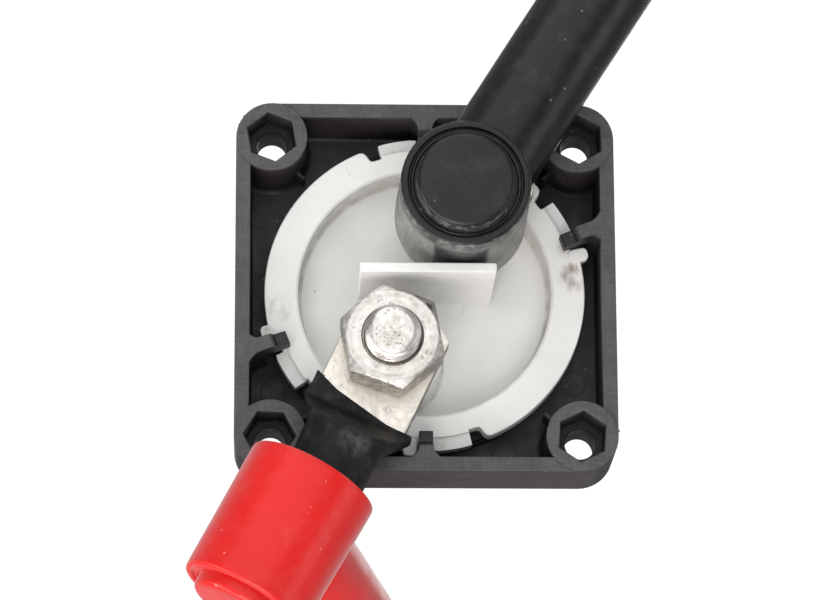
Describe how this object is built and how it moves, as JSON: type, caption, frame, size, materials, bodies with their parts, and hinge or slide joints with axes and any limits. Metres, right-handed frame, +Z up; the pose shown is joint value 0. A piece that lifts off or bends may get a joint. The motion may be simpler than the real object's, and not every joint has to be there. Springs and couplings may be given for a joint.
{
  "type": "rotary battery switch",
  "caption": "Square panel battery switch with an open back, a white contact base, threaded terminals with cable lugs and boots, and a turning knob.",
  "frame": {"origin": "centre of the square rear rim, on its plane", "axes": "+Y out of the open back towards the terminals, -Y towards the knob, +Z up as it sits in a wall panel"},
  "size_m": [0.0864, 0.0817, 0.1357],
  "materials": {
    "housing_black": "moulded glass-filled plastic, satin",
    "base_white": "moulded, satin, slightly soiled",
    "seal_rubber": "soft, matt",
    "dial_white": "satin",
    "tinned_metal": "tinned, worn",
    "bare_copper": "bare copper, satin",
    "shrink_black": "shrunk polyolefin, dusty",
    "black_boot_rubber": "soft vinyl, satin, dusty",
    "red_boot_rubber": "soft vinyl, glossy",
    "spring_steel": "bright",
    "rotor_grey": "moulded, satin",
    "knob_red": "moulded, satin"
  },
  "bodies": {
    "switch_body": {"housing": "housing_black", "contact_base": "base_white", "base_gasket": "seal_rubber", "dial_ring": "dial_white", "positive_stud": "tinned_metal", "negative_stud": "tinned_metal", "positive_nut": "tinned_metal", "negative_nut": "tinned_metal", "positive_cable_lug": "tinned_metal", "negative_cable_lug": "tinned_metal", "positive_heat_shrink": "shrink_black", "negative_heat_shrink": "shrink_black", "black_boot": "black_boot_rubber", "red_boot": "red_boot_rubber"},
    "knob": {"knob": "knob_red", "knob_cap": "knob_red", "knob_screw": "spring_steel", "rotor": "rotor_grey", "spindle_o_ring": "seal_rubber", "contact_spring": "spring_steel", "detent_spring_1": "spring_steel", "detent_spring_2": "spring_steel"},
    "moving_contact": {"contact_bridge": "bare_copper"},
    "detent_ball_1": {"detent_ball_1": "spring_steel"},
    "detent_ball_2": {"detent_ball_2": "spring_steel"}
  },
  "joints": [
    {"name": "knob_turn", "type": "hinge", "parent": "switch_body", "child": "knob", "pos_m": [0, -0.04, 0], "axis": [0, 1, 0], "range_deg": [0, 90]},
    {"name": "contact_slide", "type": "slide", "parent": "knob", "child": "moving_contact", "axis": [0, 1, 0], "range_m": [0, 0.0015]},
    {"name": "detent_slide_1", "type": "slide", "parent": "knob", "child": "detent_ball_1", "axis": [0.9507, 0, -0.3102], "range_m": [0, 0.0006], "stiffness_N_per_m": 300},
    {"name": "detent_slide_2", "type": "slide", "parent": "knob", "child": "detent_ball_2", "axis": [-0.9507, 0, 0.3102], "range_m": [0, 0.0006], "stiffness_N_per_m": 300}
  ],
  "couplings": [
    {"joint": "contact_slide", "follows": "knob_turn", "m_per_rad": 0.000954}
  ]
}
